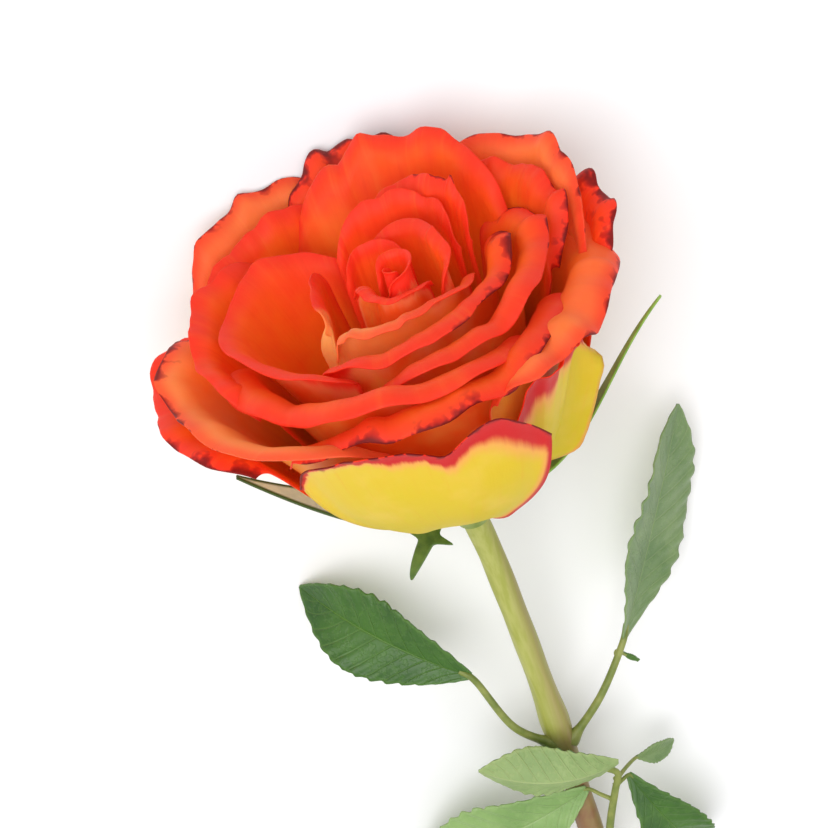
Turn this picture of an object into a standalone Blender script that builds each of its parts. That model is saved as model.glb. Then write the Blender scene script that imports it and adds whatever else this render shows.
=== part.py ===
"""A cut rose lying on a table, bloom towards +X and the cut end of its stem towards -X.

World units are metres, +Z up, with the table at z = 0 and the origin on the table under the middle of the
rose. The bloom is worked out in its own frame, in millimetres: front (away from the table), right and axis
(out of the bloom), with its origin where the petals meet the receptacle. Azimuth runs from front to right.
"""
import math
from collections import namedtuple

import bmesh
import bpy
import numpy as np
from mathutils import Vector
from mathutils.bvhtree import BVHTree

MM = 0.001

# Driving dimensions, in millimetres and degrees
BLOOM_TILT = 20.0          # the bloom's axis above the table
BASE_HEIGHT = 28.6         # the foot of the petals above the table
PETAL_SHEET = 0.35         # thickness of a petal
LEAF_SHEET = 0.4           # thickness of a leaf or a sepal
GAP = 0.35                 # air left between neighbours
PETAL_ACROSS = 8           # faces across and along each petal
PETAL_ALONG = 8
CLAW_HALF_ANGLE = 20.0     # half of the narrow foot of a petal, seen from the axis
INNER_FOOT = 1.3           # distance of the innermost and outermost feet from the axis
OUTER_FOOT = 6.5
RECEPTACLE_RADIUS = 7.0
RECEPTACLE_LENGTH = 10.0
STEM_RADIUS = 2.8
STEM_LENGTH = 232.0        # from the foot of the petals to the cut end, along the table
CENTRE_X = 81.76           # moves the middle of the rose to x = 0
CENTRE_Y = -0.78           # and to y = 0

PetalShape = namedtuple("PetalShape", "name left middle right flare")

# The petals from the outermost inwards. Each corner of the free edge is its azimuth, its distance from the
# axis and its height; flare is how far the edge leans out.
PETALS = [
    PetalShape("front_guard", (-52, 39, 37), (-16, 37, 37), (28, 41, 39), 8),
    PetalShape("right_guard", (26, 29, 35), (52, 33, 36), (78, 29, 33), 22),
    PetalShape("back_left_guard", (-186, 43, 50), (-152, 50, 51), (-124, 48, 44), 25),
    PetalShape("back_right_guard", (88, 37, 40), (108, 44, 46), (132, 43, 44), 25),
    PetalShape("left_guard", (-126, 45, 40), (-99, 52, 36.5), (-62, 37, 37.5), 55),
    PetalShape("back_guard", (152, 41, 51), (180, 45, 55), (204, 42, 49), 25),
    PetalShape("back_right_outer", (90, 27, 44), (122, 42, 55), (160, 37, 54), 20),
    PetalShape("left_outer", (-122, 43, 43), (-82, 47, 42), (-22, 29, 40), 50),
    PetalShape("right_outer", (18, 24, 42), (68, 32, 45), (128, 39, 43), 26),
    PetalShape("back_left_outer", (-176, 35, 48), (-144, 43, 48), (-122, 45, 43), 25),
    PetalShape("front_outer", (-62, 33, 36), (0, 28, 44), (84, 26, 44), 6),
    PetalShape("back_right_middle", (96, 31, 46), (120, 36, 53), (150, 33, 52), 22),
    PetalShape("back_middle", (120, 24, 49), (164, 37, 60), (206, 37, 48), 20),
    PetalShape("left_middle", (-150, 42, 46), (-108, 41, 47), (-72, 33, 43), 26),
    PetalShape("front_middle", (-106, 31, 42), (-36, 28, 46), (52, 22, 45), 6),
    PetalShape("right_middle", (-26, 19, 46), (60, 22, 49), (138, 30, 49), 12),
    PetalShape("left_inner", (-158, 26, 48), (-108, 35, 47), (-40, 17, 47), 28),
    PetalShape("right_inner", (-66, 20, 46), (28, 14, 49), (124, 23, 50), 6),
    PetalShape("back_inner", (118, 19, 52), (146, 23, 57), (184, 27, 53), 8),
    PetalShape("left_heart", (-150, 24, 47), (-118, 16.5, 48), (-90, 13, 46), 0),
    PetalShape("back_heart", (118, 15, 52), (164, 21, 56.5), (208, 20, 51), 2),
    PetalShape("front_heart", (-78, 16, 45.5), (-30, 9, 48.5), (100, 7, 49.5), 0),
    PetalShape("right_heart", (66, 7.5, 50), (120, 10, 53.5), (190, 5, 52.5), -2),
    PetalShape("shade_heart", (156, 8.5, 51), (192, 13.5, 52), (222, 13, 49), 0),
    PetalShape("lip_heart", (-130, 10, 49.5), (-80, 3.4, 50.5), (92, 3.6, 50.5), 0),
    PetalShape("curl_heart", (-40, 2, 52.5), (110, 3.6, 54.5), (260, 2.2, 53.5), 0),
    PetalShape("bud_heart", (-200, 1, 53), (-60, 1.5, 53.5), (80, 0.9, 53), 0),
]

SepalShape = namedtuple("SepalShape", "name azimuth reach drop width bow")

# Each sepal leaves the rim of the receptacle; reach and drop are where its tip ends up, as distance from the
# axis and height, and bow swings its middle towards larger azimuths
SEPALS = [
    SepalShape("sepal_front", -49, 21, -10, 5, 0),
    SepalShape("sepal_left", -96, 43, 15, 18, 0),
    SepalShape("sepal_back_left", -168, 28, 7, 8, 0),
    SepalShape("sepal_back_right", 130, 32, 2, 8, 0),
    SepalShape("sepal_right", 77, 43.5, 35, 10, 3),
]

LeafShape = namedtuple("LeafShape", "name foot tip turn width arch fold")

# Foot and tip of each blade in x, y, z from the point on the table below the petals' feet; turn rolls the
# blade about its midrib, arch lifts its middle and fold lifts its sides
LEAVES = [
    LeafShape("leaf_left_blade", (-45.7, 11, 19), (-20.7, 40.1, 0.2), -12, 20, 4, 14),
    LeafShape("leaf_right_blade", (-49.7, -22.6, 16), (-6, -49, 9), 50, 25, 0.5, 10),
    LeafShape("leaf_right_bract", (-53.4, -21.4, 14.9), (-57, -24.3, 12.9), 20, 1.4, 0, 5),
    LeafShape("lower_leaflet_tip", (-75, -13, 20), (-67, 16, 19), 160, 16, -5, 30),
    LeafShape("lower_leaflet_left", (-81, -5, 14.5), (-90, 34, 0.2), -8, 22, 5, 12),
    LeafShape("lower_leaflet_right", (-80, -14.5, 16), (-107, -26, 0.15), 6, 15, 7, 12),
    LeafShape("lower_leaflet_small", (-78.8, -17.3, 12), (-79, -26.5, 9), 20, 6, 1, 12),
]

ORANGE = (0.78, 0.08, 0.01, 1)
LEAF_GREEN = (0.045, 0.13, 0.03, 1)
STEM_GREEN = (0.25, 0.34, 0.08, 1)


def clear_scene():
    for thing in list(bpy.data.objects):
        bpy.data.objects.remove(thing, do_unlink=True)
    for collection in list(bpy.data.collections):
        bpy.data.collections.remove(collection)


def make_material(name, colour, roughness):
    material = bpy.data.materials.new(name)
    material.use_nodes = True
    shader = material.node_tree.nodes["Principled BSDF"]
    shader.inputs["Base Color"].default_value = colour
    shader.inputs["Roughness"].default_value = roughness
    shader.inputs["Metallic"].default_value = 0.0
    return material


def polar(azimuth, distance, height):
    """A point of the bloom's frame from azimuth in degrees, distance from the axis and height."""
    turn = np.radians(azimuth)
    return np.stack([distance * np.cos(turn), distance * np.sin(turn), height + 0 * turn], axis=-1)


def bloom_to_world(points):
    """Bloom frame (front, right, axis) to world x, y, z, all in millimetres."""
    tilt = math.radians(BLOOM_TILT)
    front, right, axis = points[..., 0], points[..., 1], points[..., 2]
    x = axis * math.cos(tilt) - front * math.sin(tilt)
    z = axis * math.sin(tilt) + front * math.cos(tilt) + BASE_HEIGHT
    return np.stack([x, -right, z], axis=-1)


def smooth_step(share):
    share = np.clip(share, 0, 1)
    return share * share * (3 - 2 * share)


def free_edge(petal, t):
    """Azimuth, distance and height of the free edge: a parabola through its three corners."""
    left, middle, right = (np.array(corner, float) for corner in (petal.left, petal.middle, petal.right))
    t = t[..., None]
    return middle + (right - left) / 2 * t + ((left + right) / 2 - middle) * t * t


def petal_grid(petal, outward, across, along):
    """Mid-surface of a petal in the bloom frame, rows from the foot to the free edge.

    outward runs from 0 for the innermost petal to 1 for the outermost. Every meridian is a Bezier curve that
    leaves its own place on the receptacle and arrives at the free edge with the petal's flare.
    """
    s, t = np.meshgrid(np.linspace(0, 1, along + 1), np.linspace(-1, 1, across + 1), indexing="ij")
    edge = free_edge(petal, t)
    foot = np.array([INNER_FOOT + (OUTER_FOOT - INNER_FOOT) * outward, 0.8 - 1.6 * outward])
    start = math.radians(18 + 66 * outward ** 0.7)
    flare = math.radians(petal.flare)
    end = edge[..., 1:]
    span = np.linalg.norm(end - foot, axis=-1)[..., None]
    leave = foot + 0.42 * span * np.array([math.sin(start), math.cos(start)])
    arrive = end - 0.3 * span * np.array([math.sin(flare), math.cos(flare)])
    share = (s * (1 - (0.05 + 0.13 * outward) * np.abs(t) ** 5))[..., None]
    line = ((1 - share) ** 3 * foot + 3 * share * (1 - share) ** 2 * leave
            + 3 * share ** 2 * (1 - share) * arrive + share ** 3 * end)
    spread = np.sin(np.pi / 2 * np.clip(s / 0.75, 0, 1)) ** 0.9
    claw = petal.middle[0] + CLAW_HALF_ANGLE * t
    azimuth = claw + (edge[..., 0] - claw) * spread
    return polar(azimuth, line[..., 0], line[..., 1])


def grid_faces(rows, columns):
    return [(i * columns + j, i * columns + j + 1, (i + 1) * columns + j + 1, (i + 1) * columns + j)
            for i in range(rows - 1) for j in range(columns - 1)]


def lay_outside(grid, inner, clearance, far=150.0):
    """Push a petal away from the axis until it clears the surface that the petals inside it make."""
    rows, columns = grid.shape[:2]
    distance = np.hypot(grid[..., 0], grid[..., 1])
    azimuth = np.arctan2(grid[..., 1], grid[..., 0])
    needed = np.zeros((rows, columns))
    for i in range(1, rows):
        for j in range(columns):
            reach = max(distance[i, j], 5)
            for side in (-1, -0.5, 0, 0.5, 1):
                for lift in (-1, 0, 1):
                    turn = azimuth[i, j] + side * 4.6 / reach
                    height = grid[i, j, 2] + lift * 2.2
                    out = Vector((math.cos(turn), math.sin(turn), 0))
                    start = out * far + Vector((0, 0, height))
                    spot, normal, _, _ = inner.ray_cast(start, -out, far)
                    if spot is not None:
                        facing = max(abs(normal.dot(out)), 0.45)
                        needed[i, j] = max(needed[i, j], math.hypot(spot.x, spot.y) + clearance / facing)
    push = np.maximum(needed - distance, 0)
    push *= smooth_step(np.linspace(0, 1, rows) / 0.3)[:, None]
    eased = push.copy()
    padded = np.pad(push, 1, mode="edge")
    for row_shift in (0, 1, 2):
        for column_shift in (0, 1, 2):
            eased += padded[row_shift:row_shift + rows, column_shift:column_shift + columns]
    push = np.maximum(push, eased / 10)
    scale = (distance + push) / np.maximum(distance, 0.01)
    moved = grid.copy()
    moved[..., 0] *= scale
    moved[..., 1] *= scale
    return moved


def settled_petals(across, along):
    """Every petal, from the heart outwards, each laid outside the ones before it."""
    points, faces, settled = [], [], {}
    clearance = PETAL_SHEET + GAP + 0.45
    for place in reversed(range(len(PETALS))):
        petal = PETALS[place]
        outward = 1 - place / (len(PETALS) - 1)
        grid = petal_grid(petal, outward, across, along)
        if points:
            grid = lay_outside(grid, BVHTree.FromPolygons(points, faces), clearance)
        settled[petal.name] = grid
        offset = len(points)
        points += [Vector(point) for point in grid.reshape(-1, 3)]
        faces += [tuple(offset + corner for corner in face) for face in grid_faces(along + 1, across + 1)]
    return settled


def sepal_grid(sepal, across, along):
    """A narrow strip from the receptacle's rim, arched and tapering to a long point."""
    s, t = np.meshgrid(np.linspace(0, 1, along + 1), np.linspace(-1, 1, across + 1), indexing="ij")
    foot = np.array([RECEPTACLE_RADIUS + 0.9, -2.6])
    rise = max(sepal.drop - 20, 0)
    knee = np.array([RECEPTACLE_RADIUS + 13.0 + 0.35 * rise, -6.0 + 0.2 * min(sepal.drop, 0) - 0.15 * rise])
    tip = np.array([sepal.reach, sepal.drop])
    share = s[..., None]
    line = (1 - share) ** 2 * foot + 2 * share * (1 - share) * knee + share ** 2 * tip
    line[..., 0] += 0.35 * rise * s ** 8    # a sepal that stands up curls out at its tip
    half = sepal.width / 2 * (1 - 0.94 * s ** 1.2) * (1 - 0.35 * (1 - s) ** 6)
    centre = polar(sepal.azimuth + 0 * s, line[..., 0], line[..., 1])
    turn = math.radians(sepal.azimuth)
    sideways = np.array([-math.sin(turn), math.cos(turn), 0])
    return centre + sideways * (half * t + 4 * sepal.bow * s * (1 - s))[..., None]


def leaf_grid(leaf, across, along):
    """A blade along its midrib in world millimetres, folded a little about it and arched."""
    s, t = np.meshgrid(np.linspace(0, 1, along + 1), np.linspace(-1, 1, across + 1), indexing="ij")
    foot, tip = np.array(leaf.foot, float), np.array(leaf.tip, float)
    heading = (tip - foot) / np.linalg.norm(tip - foot)
    level = np.cross([0, 0, 1], heading)
    level /= np.linalg.norm(level)
    up = np.cross(heading, level)
    turn = math.radians(leaf.turn)
    sideways = level * math.cos(turn) + up * math.sin(turn)
    above = np.cross(heading, sideways)
    half = leaf.width / 2 * np.sin(np.pi * np.clip(0.03 + 0.97 * s, 0, 1) ** 1.2) ** 0.8
    half = np.maximum(half, 0.5)
    fold = math.radians(leaf.fold)
    reach = half * t * math.cos(fold)
    rise = half * np.abs(t) * math.sin(fold) + leaf.arch * 4 * s * (1 - s)
    return foot + (tip - foot) * s[..., None] + sideways * reach[..., None] + above * rise[..., None]


def sheet_object(name, grid, thickness, material, collection):
    """A thin closed solid about a grid of points given in world millimetres."""
    rows, columns = grid.shape[:2]
    built = bmesh.new()
    bmesh.ops.create_grid(built, x_segments=columns - 1, y_segments=rows - 1, size=0.5)
    for vertex in built.verts:
        column = round((vertex.co.x + 0.5) * (columns - 1))
        row = round((vertex.co.y + 0.5) * (rows - 1))
        vertex.co = Vector(grid[row, column]) * MM
    mesh = bpy.data.meshes.new(name)
    built.to_mesh(mesh)
    built.free()
    mesh.shade_smooth()
    mesh.materials.append(material)
    thing = bpy.data.objects.new(name, mesh)
    collection.objects.link(thing)
    shell = thing.modifiers.new("sheet", "SOLIDIFY")
    shell.thickness = thickness * MM
    shell.offset = 0.0
    return thing


def through(points, steps):
    """A smooth line through the given points (Catmull-Rom)."""
    points = [np.array(point, float) for point in points]
    points = [2 * points[0] - points[1]] + points + [2 * points[-1] - points[-2]]
    line = []
    for a, b, c, d in zip(points, points[1:], points[2:], points[3:]):
        for step in range(steps):
            u = step / steps
            line.append(0.5 * (2 * b + (c - a) * u + (2 * a - 5 * b + 4 * c - d) * u * u
                               + (3 * b - a - 3 * c + d) * u ** 3))
    line.append(points[-2])
    return line


def tube_object(name, line, radii, material, collection):
    curve = bpy.data.curves.new(name, "CURVE")
    curve.dimensions = "3D"
    curve.bevel_depth = MM
    curve.bevel_resolution = 2
    curve.use_fill_caps = True
    spline = curve.splines.new("POLY")
    spline.points.add(len(line) - 1)
    for spot, point, radius in zip(spline.points, line, radii):
        spot.co = (*(Vector(point) * MM), 1.0)
        spot.radius = radius
    spline.use_smooth = True
    curve.materials.append(material)
    thing = bpy.data.objects.new(name, curve)
    collection.objects.link(thing)
    return thing


def make_receptacle(material, collection):
    """The green cup below the petals: a turned shape, flat on top and drawn in towards the stem."""
    wide, low = RECEPTACLE_RADIUS, -1.0 - RECEPTACLE_LENGTH
    profile = [(0.0, -1.6), (wide - 1.0, -1.9), (wide, -2.6), (wide - 0.4, -5.0), (wide - 2.0, -8.0),
               (STEM_RADIUS + 0.6, low), (0.0, low)]
    mesh = bpy.data.meshes.new("receptacle")
    mesh.from_pydata([(x * MM, 0, z * MM) for x, z in profile],
                     [(k, k + 1) for k in range(len(profile) - 1)], [])
    mesh.materials.append(material)
    thing = bpy.data.objects.new("receptacle", mesh)
    collection.objects.link(thing)
    turned = thing.modifiers.new("turned", "SCREW")
    turned.steps = 20
    turned.render_steps = 20
    turned.use_merge_vertices = True
    turned.merge_threshold = 0.00001
    turned.use_smooth_shade = True
    thing.rotation_euler = (0, math.radians(90 - BLOOM_TILT), 0)
    thing.location = (0, 0, BASE_HEIGHT * MM)
    return thing


def stem_line():
    """Straight out of the receptacle, then easing down to lie along the table."""
    end = bloom_to_world(np.array([0.0, 0.0, -1.6 - RECEPTACLE_LENGTH]))
    neck = bloom_to_world(np.array([0.0, 1.5, -26.0]))
    points = [end, neck, (-64, -3, 13.5), (-120, -3, 7.8), (-180, -1.5, 4.4), (-STEM_LENGTH, 0, STEM_RADIUS)]
    return through(points, 5)


def make_stem(material, collection):
    line = stem_line()
    radii = []
    for point in line:
        nodes = sum(math.exp(-((point[0] - x) / 5.0) ** 2) for x in (-64, -130, -196))
        radii.append(STEM_RADIUS + 0.7 * nodes * (point[0] > -200))
    radii[0] = STEM_RADIUS + 0.5
    radii[-1] = STEM_RADIUS
    return tube_object("stem", line, radii, material, collection)


def make_stalks(collection):
    """The leaf stalks, from the stem's nodes to the feet of the blades."""
    routes = {
        "leaf_left_stalk": [(-67, 1.6, 15), (-60, 6, 18), (-47.2, 10.4, 19.2)],
        "leaf_right_stalk": [(-68, -7.6, 14), (-61, -14, 15.5), (-51.2, -21.6, 16.2)],
        "lower_leaf_stalk": [(-100, -5.6, 12.5), (-90, -7.5, 15.5), (-82, -10.5, 18.3), (-77.8, -12.2, 19.2)],
    }
    for name, route in routes.items():
        line = through(route, 4)
        radii = np.linspace(1.1, 0.8, len(line))
        tube_object(name, line, radii, make_material(name + "_green", STEM_GREEN, 0.5), collection)


def shift_to_origin(collection):
    """Bring the middle of the rose over the origin."""
    centre = bpy.data.objects.new("centre", None)
    collection.objects.link(centre)
    centre.location = (CENTRE_X * MM, CENTRE_Y * MM, 0)
    for thing in collection.objects:
        if thing is not centre:
            thing.parent = centre


def main():
    clear_scene()
    rose = bpy.data.collections.new("cut_rose")
    bpy.context.scene.collection.children.link(rose)
    floor = PETAL_SHEET / 2 + 0.01
    for name, grid in settled_petals(PETAL_ACROSS, PETAL_ALONG).items():
        placed = bloom_to_world(grid)
        placed[..., 2] = np.maximum(placed[..., 2], floor)
        sheet_object(name, placed, PETAL_SHEET, make_material(name + "_orange", ORANGE, 0.5), rose)
    for sepal in SEPALS:
        green = make_material(sepal.name + "_green", LEAF_GREEN, 0.45)
        sheet_object(sepal.name, bloom_to_world(sepal_grid(sepal, 2, 8)), LEAF_SHEET, green, rose)
    for leaf in LEAVES:
        green = make_material(leaf.name + "_green", LEAF_GREEN, 0.45)
        sheet_object(leaf.name, leaf_grid(leaf, 4, 8), LEAF_SHEET, green, rose)
    make_receptacle(make_material("receptacle_green", LEAF_GREEN, 0.5), rose)
    make_stem(make_material("stem_green", STEM_GREEN, 0.5), rose)
    make_stalks(rose)
    shift_to_origin(rose)


main()
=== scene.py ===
"""Looks of the cut rose: fine petals, leaves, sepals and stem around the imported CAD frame."""
import math
from collections import namedtuple

import bpy
import numpy as np
from mathutils import Matrix, Vector
from mathutils.bvhtree import BVHTree


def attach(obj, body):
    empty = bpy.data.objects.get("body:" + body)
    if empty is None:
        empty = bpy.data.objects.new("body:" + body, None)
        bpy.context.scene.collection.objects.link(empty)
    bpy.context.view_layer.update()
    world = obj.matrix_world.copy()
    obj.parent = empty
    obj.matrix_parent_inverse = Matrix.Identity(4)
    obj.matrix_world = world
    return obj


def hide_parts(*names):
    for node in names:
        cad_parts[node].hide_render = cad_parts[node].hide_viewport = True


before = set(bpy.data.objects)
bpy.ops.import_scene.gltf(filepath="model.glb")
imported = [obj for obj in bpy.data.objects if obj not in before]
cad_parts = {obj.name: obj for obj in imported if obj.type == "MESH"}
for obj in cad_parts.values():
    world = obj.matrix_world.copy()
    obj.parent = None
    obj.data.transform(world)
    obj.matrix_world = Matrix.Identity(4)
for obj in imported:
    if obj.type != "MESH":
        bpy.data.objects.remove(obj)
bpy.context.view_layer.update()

MM = 0.001

# Driving dimensions shared with the CAD model, in millimetres and degrees
BLOOM_TILT = 20.0          # the bloom's axis above the table
BASE_HEIGHT = 28.6         # the foot of the petals above the table
PETAL_SHEET = 0.35         # thickness of a petal
LEAF_SHEET = 0.4           # thickness of a leaf or a sepal
GAP = 0.35                 # air left between neighbours
PETAL_ACROSS = 8           # faces across and along each CAD petal
PETAL_ALONG = 8
CLAW_HALF_ANGLE = 20.0     # half of the narrow foot of a petal, seen from the axis
INNER_FOOT = 1.3           # distance of the innermost and outermost feet from the axis
OUTER_FOOT = 6.5
RECEPTACLE_RADIUS = 7.0
RECEPTACLE_LENGTH = 10.0
STEM_RADIUS = 2.8
STEM_LENGTH = 232.0        # from the foot of the petals to the cut end, along the table
CENTRE = np.array([81.76, -0.78, 0.0])    # moves the middle of the rose to the origin

# Looks only: rows and columns of the fine surfaces
FINE_ACROSS = 56
FINE_ALONG = 64
FINE_BODY = 30
FINE_MARGIN = 20
LEAF_ACROSS = 28
LEAF_ALONG = 108

# Looks only: side veins on each half of a leaf, how far they sweep forward, and teeth along its edge
LEAF_VEINS = 11
VEIN_SWEEP = 0.16
LEAF_TEETH = 13

# Looks only: how far red, green and blue light soak in, as shares of a material's soft scale
PETAL_SOAK = (1.0, 0.22, 0.05)
GREEN_SOAK = (0.6, 1.0, 0.3)
STEM_SOAK = (0.8, 1.0, 0.3)

PetalShape = namedtuple("PetalShape", "name left middle right flare")

# The petals from the outermost inwards, as in the CAD model. Each corner of the free edge is its azimuth, its
# distance from the axis and its height; flare is how far the edge leans out.
PETALS = [
    PetalShape("front_guard", (-52, 39, 37), (-16, 37, 37), (28, 41, 39), 8),
    PetalShape("right_guard", (26, 29, 35), (52, 33, 36), (78, 29, 33), 22),
    PetalShape("back_left_guard", (-186, 43, 50), (-152, 50, 51), (-124, 48, 44), 25),
    PetalShape("back_right_guard", (88, 37, 40), (108, 44, 46), (132, 43, 44), 25),
    PetalShape("left_guard", (-126, 45, 40), (-99, 52, 36.5), (-62, 37, 37.5), 55),
    PetalShape("back_guard", (152, 41, 51), (180, 45, 55), (204, 42, 49), 25),
    PetalShape("back_right_outer", (90, 27, 44), (122, 42, 55), (160, 37, 54), 20),
    PetalShape("left_outer", (-122, 43, 43), (-82, 47, 42), (-22, 29, 40), 50),
    PetalShape("right_outer", (18, 24, 42), (68, 32, 45), (128, 39, 43), 26),
    PetalShape("back_left_outer", (-176, 35, 48), (-144, 43, 48), (-122, 45, 43), 25),
    PetalShape("front_outer", (-62, 33, 36), (0, 28, 44), (84, 26, 44), 6),
    PetalShape("back_right_middle", (96, 31, 46), (120, 36, 53), (150, 33, 52), 22),
    PetalShape("back_middle", (120, 24, 49), (164, 37, 60), (206, 37, 48), 20),
    PetalShape("left_middle", (-150, 42, 46), (-108, 41, 47), (-72, 33, 43), 26),
    PetalShape("front_middle", (-106, 31, 42), (-36, 28, 46), (52, 22, 45), 6),
    PetalShape("right_middle", (-26, 19, 46), (60, 22, 49), (138, 30, 49), 12),
    PetalShape("left_inner", (-158, 26, 48), (-108, 35, 47), (-40, 17, 47), 28),
    PetalShape("right_inner", (-66, 20, 46), (28, 14, 49), (124, 23, 50), 6),
    PetalShape("back_inner", (118, 19, 52), (146, 23, 57), (184, 27, 53), 8),
    PetalShape("left_heart", (-150, 24, 47), (-118, 16.5, 48), (-90, 13, 46), 0),
    PetalShape("back_heart", (118, 15, 52), (164, 21, 56.5), (208, 20, 51), 2),
    PetalShape("front_heart", (-78, 16, 45.5), (-30, 9, 48.5), (100, 7, 49.5), 0),
    PetalShape("right_heart", (66, 7.5, 50), (120, 10, 53.5), (190, 5, 52.5), -2),
    PetalShape("shade_heart", (156, 8.5, 51), (192, 13.5, 52), (222, 13, 49), 0),
    PetalShape("lip_heart", (-130, 10, 49.5), (-80, 3.4, 50.5), (92, 3.6, 50.5), 0),
    PetalShape("curl_heart", (-40, 2, 52.5), (110, 3.6, 54.5), (260, 2.2, 53.5), 0),
    PetalShape("bud_heart", (-200, 1, 53), (-60, 1.5, 53.5), (80, 0.9, 53), 0),
]

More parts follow.
